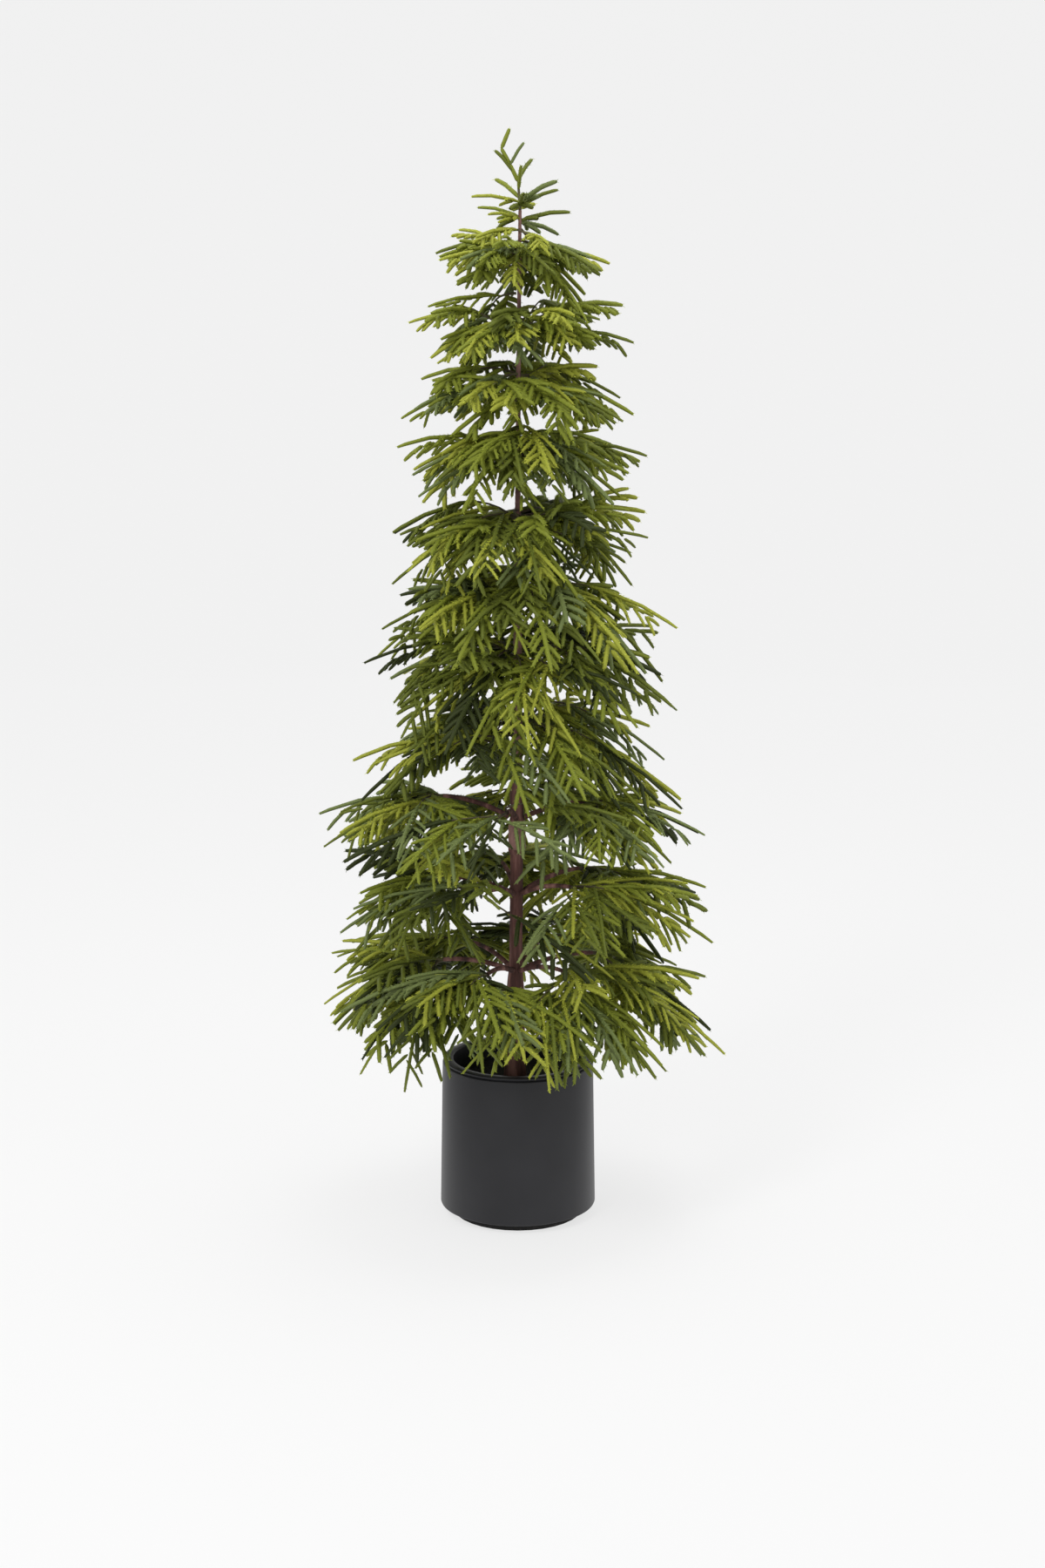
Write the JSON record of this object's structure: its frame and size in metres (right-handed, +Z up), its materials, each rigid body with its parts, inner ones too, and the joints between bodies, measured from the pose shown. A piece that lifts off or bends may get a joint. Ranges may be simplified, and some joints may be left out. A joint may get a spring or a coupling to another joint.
{
  "type": "artificial potted pine tree",
  "caption": "Slender artificial pine tree: tapering trunk, boughs and separate needle masses in tiers, standing in a round charcoal pot with a dark filling.",
  "frame": {"origin": "centre of the pot's flat underside", "axes": "+Z up along the trunk, +X to the right and -Y to the front of the pictured view"},
  "size_m": [0.7069, 0.6722, 1.8302],
  "materials": {
    "pot_charcoal": "satin",
    "filling_black": "matt",
    "bark_brown": "rough bark",
    "needle_green": "matt needles"
  },
  "bodies": {
    "root": {"leader_mass": "needle_green", "pot_body": "pot_charcoal", "pot_fill": "filling_black", "pot_foot": "filling_black", "tier01_bough1": "bark_brown", "tier01_bough2": "bark_brown", "tier01_bough3": "bark_brown", "tier01_bough4": "bark_brown", "tier01_bough5": "bark_brown", "tier01_bough6": "bark_brown", "tier01_mass1": "needle_green", "tier01_mass2": "needle_green", "tier01_mass3": "needle_green", "tier01_mass4": "needle_green", "tier01_mass5": "needle_green", "tier01_mass6": "needle_green", "tier02_bough1": "bark_brown", "tier02_bough2": "bark_brown", "tier02_bough3": "bark_brown", "tier02_bough4": "bark_brown", "tier02_bough5": "bark_brown", "tier02_mass1": "needle_green", "tier02_mass2": "needle_green", "tier02_mass3": "needle_green", "tier02_mass4": "needle_green", "tier02_mass5": "needle_green", "tier03_bough1": "bark_brown", "tier03_bough2": "bark_brown", "tier03_bough3": "bark_brown", "tier03_bough4": "bark_brown", "tier03_mass1": "needle_green", "tier03_mass2": "needle_green", "tier03_mass3": "needle_green", "tier03_mass4": "needle_green", "tier04_mass1": "needle_green", "tier04_mass2": "needle_green", "tier04_mass3": "needle_green", "tier04_mass4": "needle_green", "tier05_mass1": "needle_green", "tier05_mass2": "needle_green", "tier05_mass3": "needle_green", "tier06_mass1": "needle_green", "tier06_mass2": "needle_green", "tier06_mass3": "needle_green", "tier07_mass1": "needle_green", "tier07_mass2": "needle_green", "tier07_mass3": "needle_green", "tier08_mass1": "needle_green", "tier08_mass2": "needle_green", "tier08_mass3": "needle_green", "tier09_mass1": "needle_green", "tier09_mass2": "needle_green", "tier09_mass3": "needle_green", "tier10_mass1": "needle_green", "tier10_mass2": "needle_green", "tier10_mass3": "needle_green", "tier11_mass1": "needle_green", "tier11_mass2": "needle_green", "tier11_mass3": "needle_green", "trunk": "bark_brown"}
  },
  "joints": []
}
